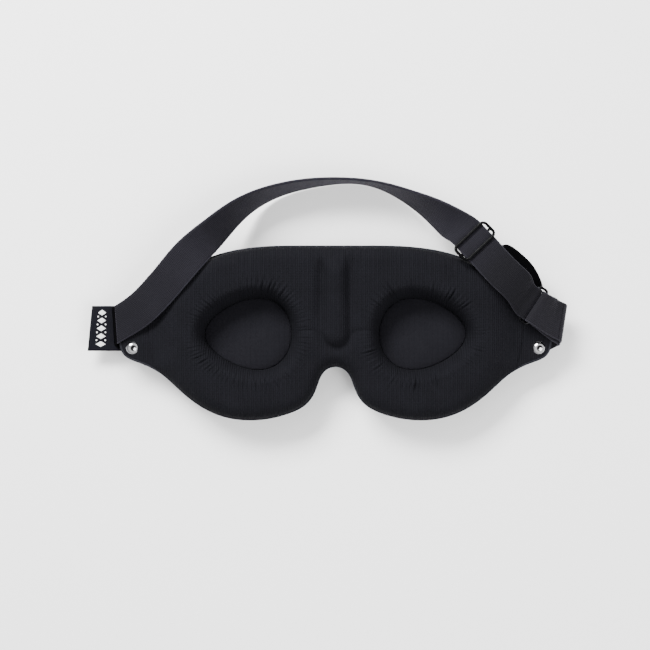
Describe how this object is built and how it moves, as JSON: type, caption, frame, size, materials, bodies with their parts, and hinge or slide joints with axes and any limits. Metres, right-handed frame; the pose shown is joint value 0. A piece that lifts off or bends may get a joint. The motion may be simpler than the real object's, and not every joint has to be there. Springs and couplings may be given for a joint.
{
  "type": "sleep eye mask",
  "caption": "Contoured foam sleep mask with recessed eye cups, a nose notch and an adjustable elastic strap with a wire slider and a ring.",
  "frame": {"origin": "middle of the whole object's footprint, mask and folded strap, in the plane that the eye domes rest on", "axes": "+X along the mask towards the ring and slider end, +Y towards the forehead edge and the strap's arch, +Z towards the wearer's face, away from the eye domes"},
  "size_m": [0.2632, 0.134, 0.0266],
  "materials": {
    "cover_fabric": "matte black brushed knit",
    "foam": "matte dark foam, open cells",
    "lining_fabric": "soft matte black knit with a short nap",
    "disc_fabric": "smooth matte charcoal knit",
    "polished_steel": "polished nickel plating",
    "label_satin": "navy black woven satin",
    "elastic": "black woven elastic, ribbed along its length",
    "short_elastic": "charcoal woven elastic",
    "black_metal": "glossy black enamel on steel wire",
    "gunmetal": "gunmetal plating"
  },
  "bodies": {
    "mask": {"front_cover": "cover_fabric", "front_shell_foam": "foam", "foam_pad": "foam", "nose_ridge_foam": "foam", "face_lining": "lining_fabric", "left_eye_disc": "disc_fabric", "right_eye_disc": "disc_fabric", "left_rivet_cap": "polished_steel", "left_rivet_post": "polished_steel", "left_rivet_back": "polished_steel", "right_rivet_cap": "polished_steel", "right_rivet_post": "polished_steel", "right_rivet_back": "polished_steel", "label_root": "label_satin", "left_strap_end": "elastic", "right_strap_end_inner": "short_elastic", "right_strap_end_outer": "short_elastic"},
    "strap": {"main_strap": "elastic", "adjuster_strap": "elastic", "ring_end_strap": "elastic", "strap_return": "elastic", "short_strap": "short_elastic"},
    "slider": {"slider_frame": "black_metal", "strap_sewn_end": "elastic"},
    "ring": {"ring_frame": "gunmetal"},
    "label": {"side_label": "label_satin"}
  },
  "joints": [
    {"name": "strap_swing", "type": "hinge", "parent": "mask", "child": "strap", "pos_m": [0, -0.0243, 0.0144], "axis": [1, 0, 0], "range_deg": [0, 150]},
    {"name": "slider_travel", "type": "slide", "parent": "strap", "child": "slider", "axis": [0.6745, -0.7108, 0.1994], "range_m": [0, 0.02], "deforming": ["strap_return"]},
    {"name": "ring_rock", "type": "hinge", "parent": "strap", "child": "ring", "pos_m": [0.11575, -0.00492, 0.018], "axis": [0.5446, 0.8387, 0], "range_deg": [-4, 4]},
    {"name": "label_bend", "type": "hinge", "parent": "mask", "child": "label", "pos_m": [-0.1185, -0.0161, 0.0076], "axis": [0, 1, 0], "range_deg": [-60, 80], "stiffness_Nm_per_rad": 0.0005}
  ]
}
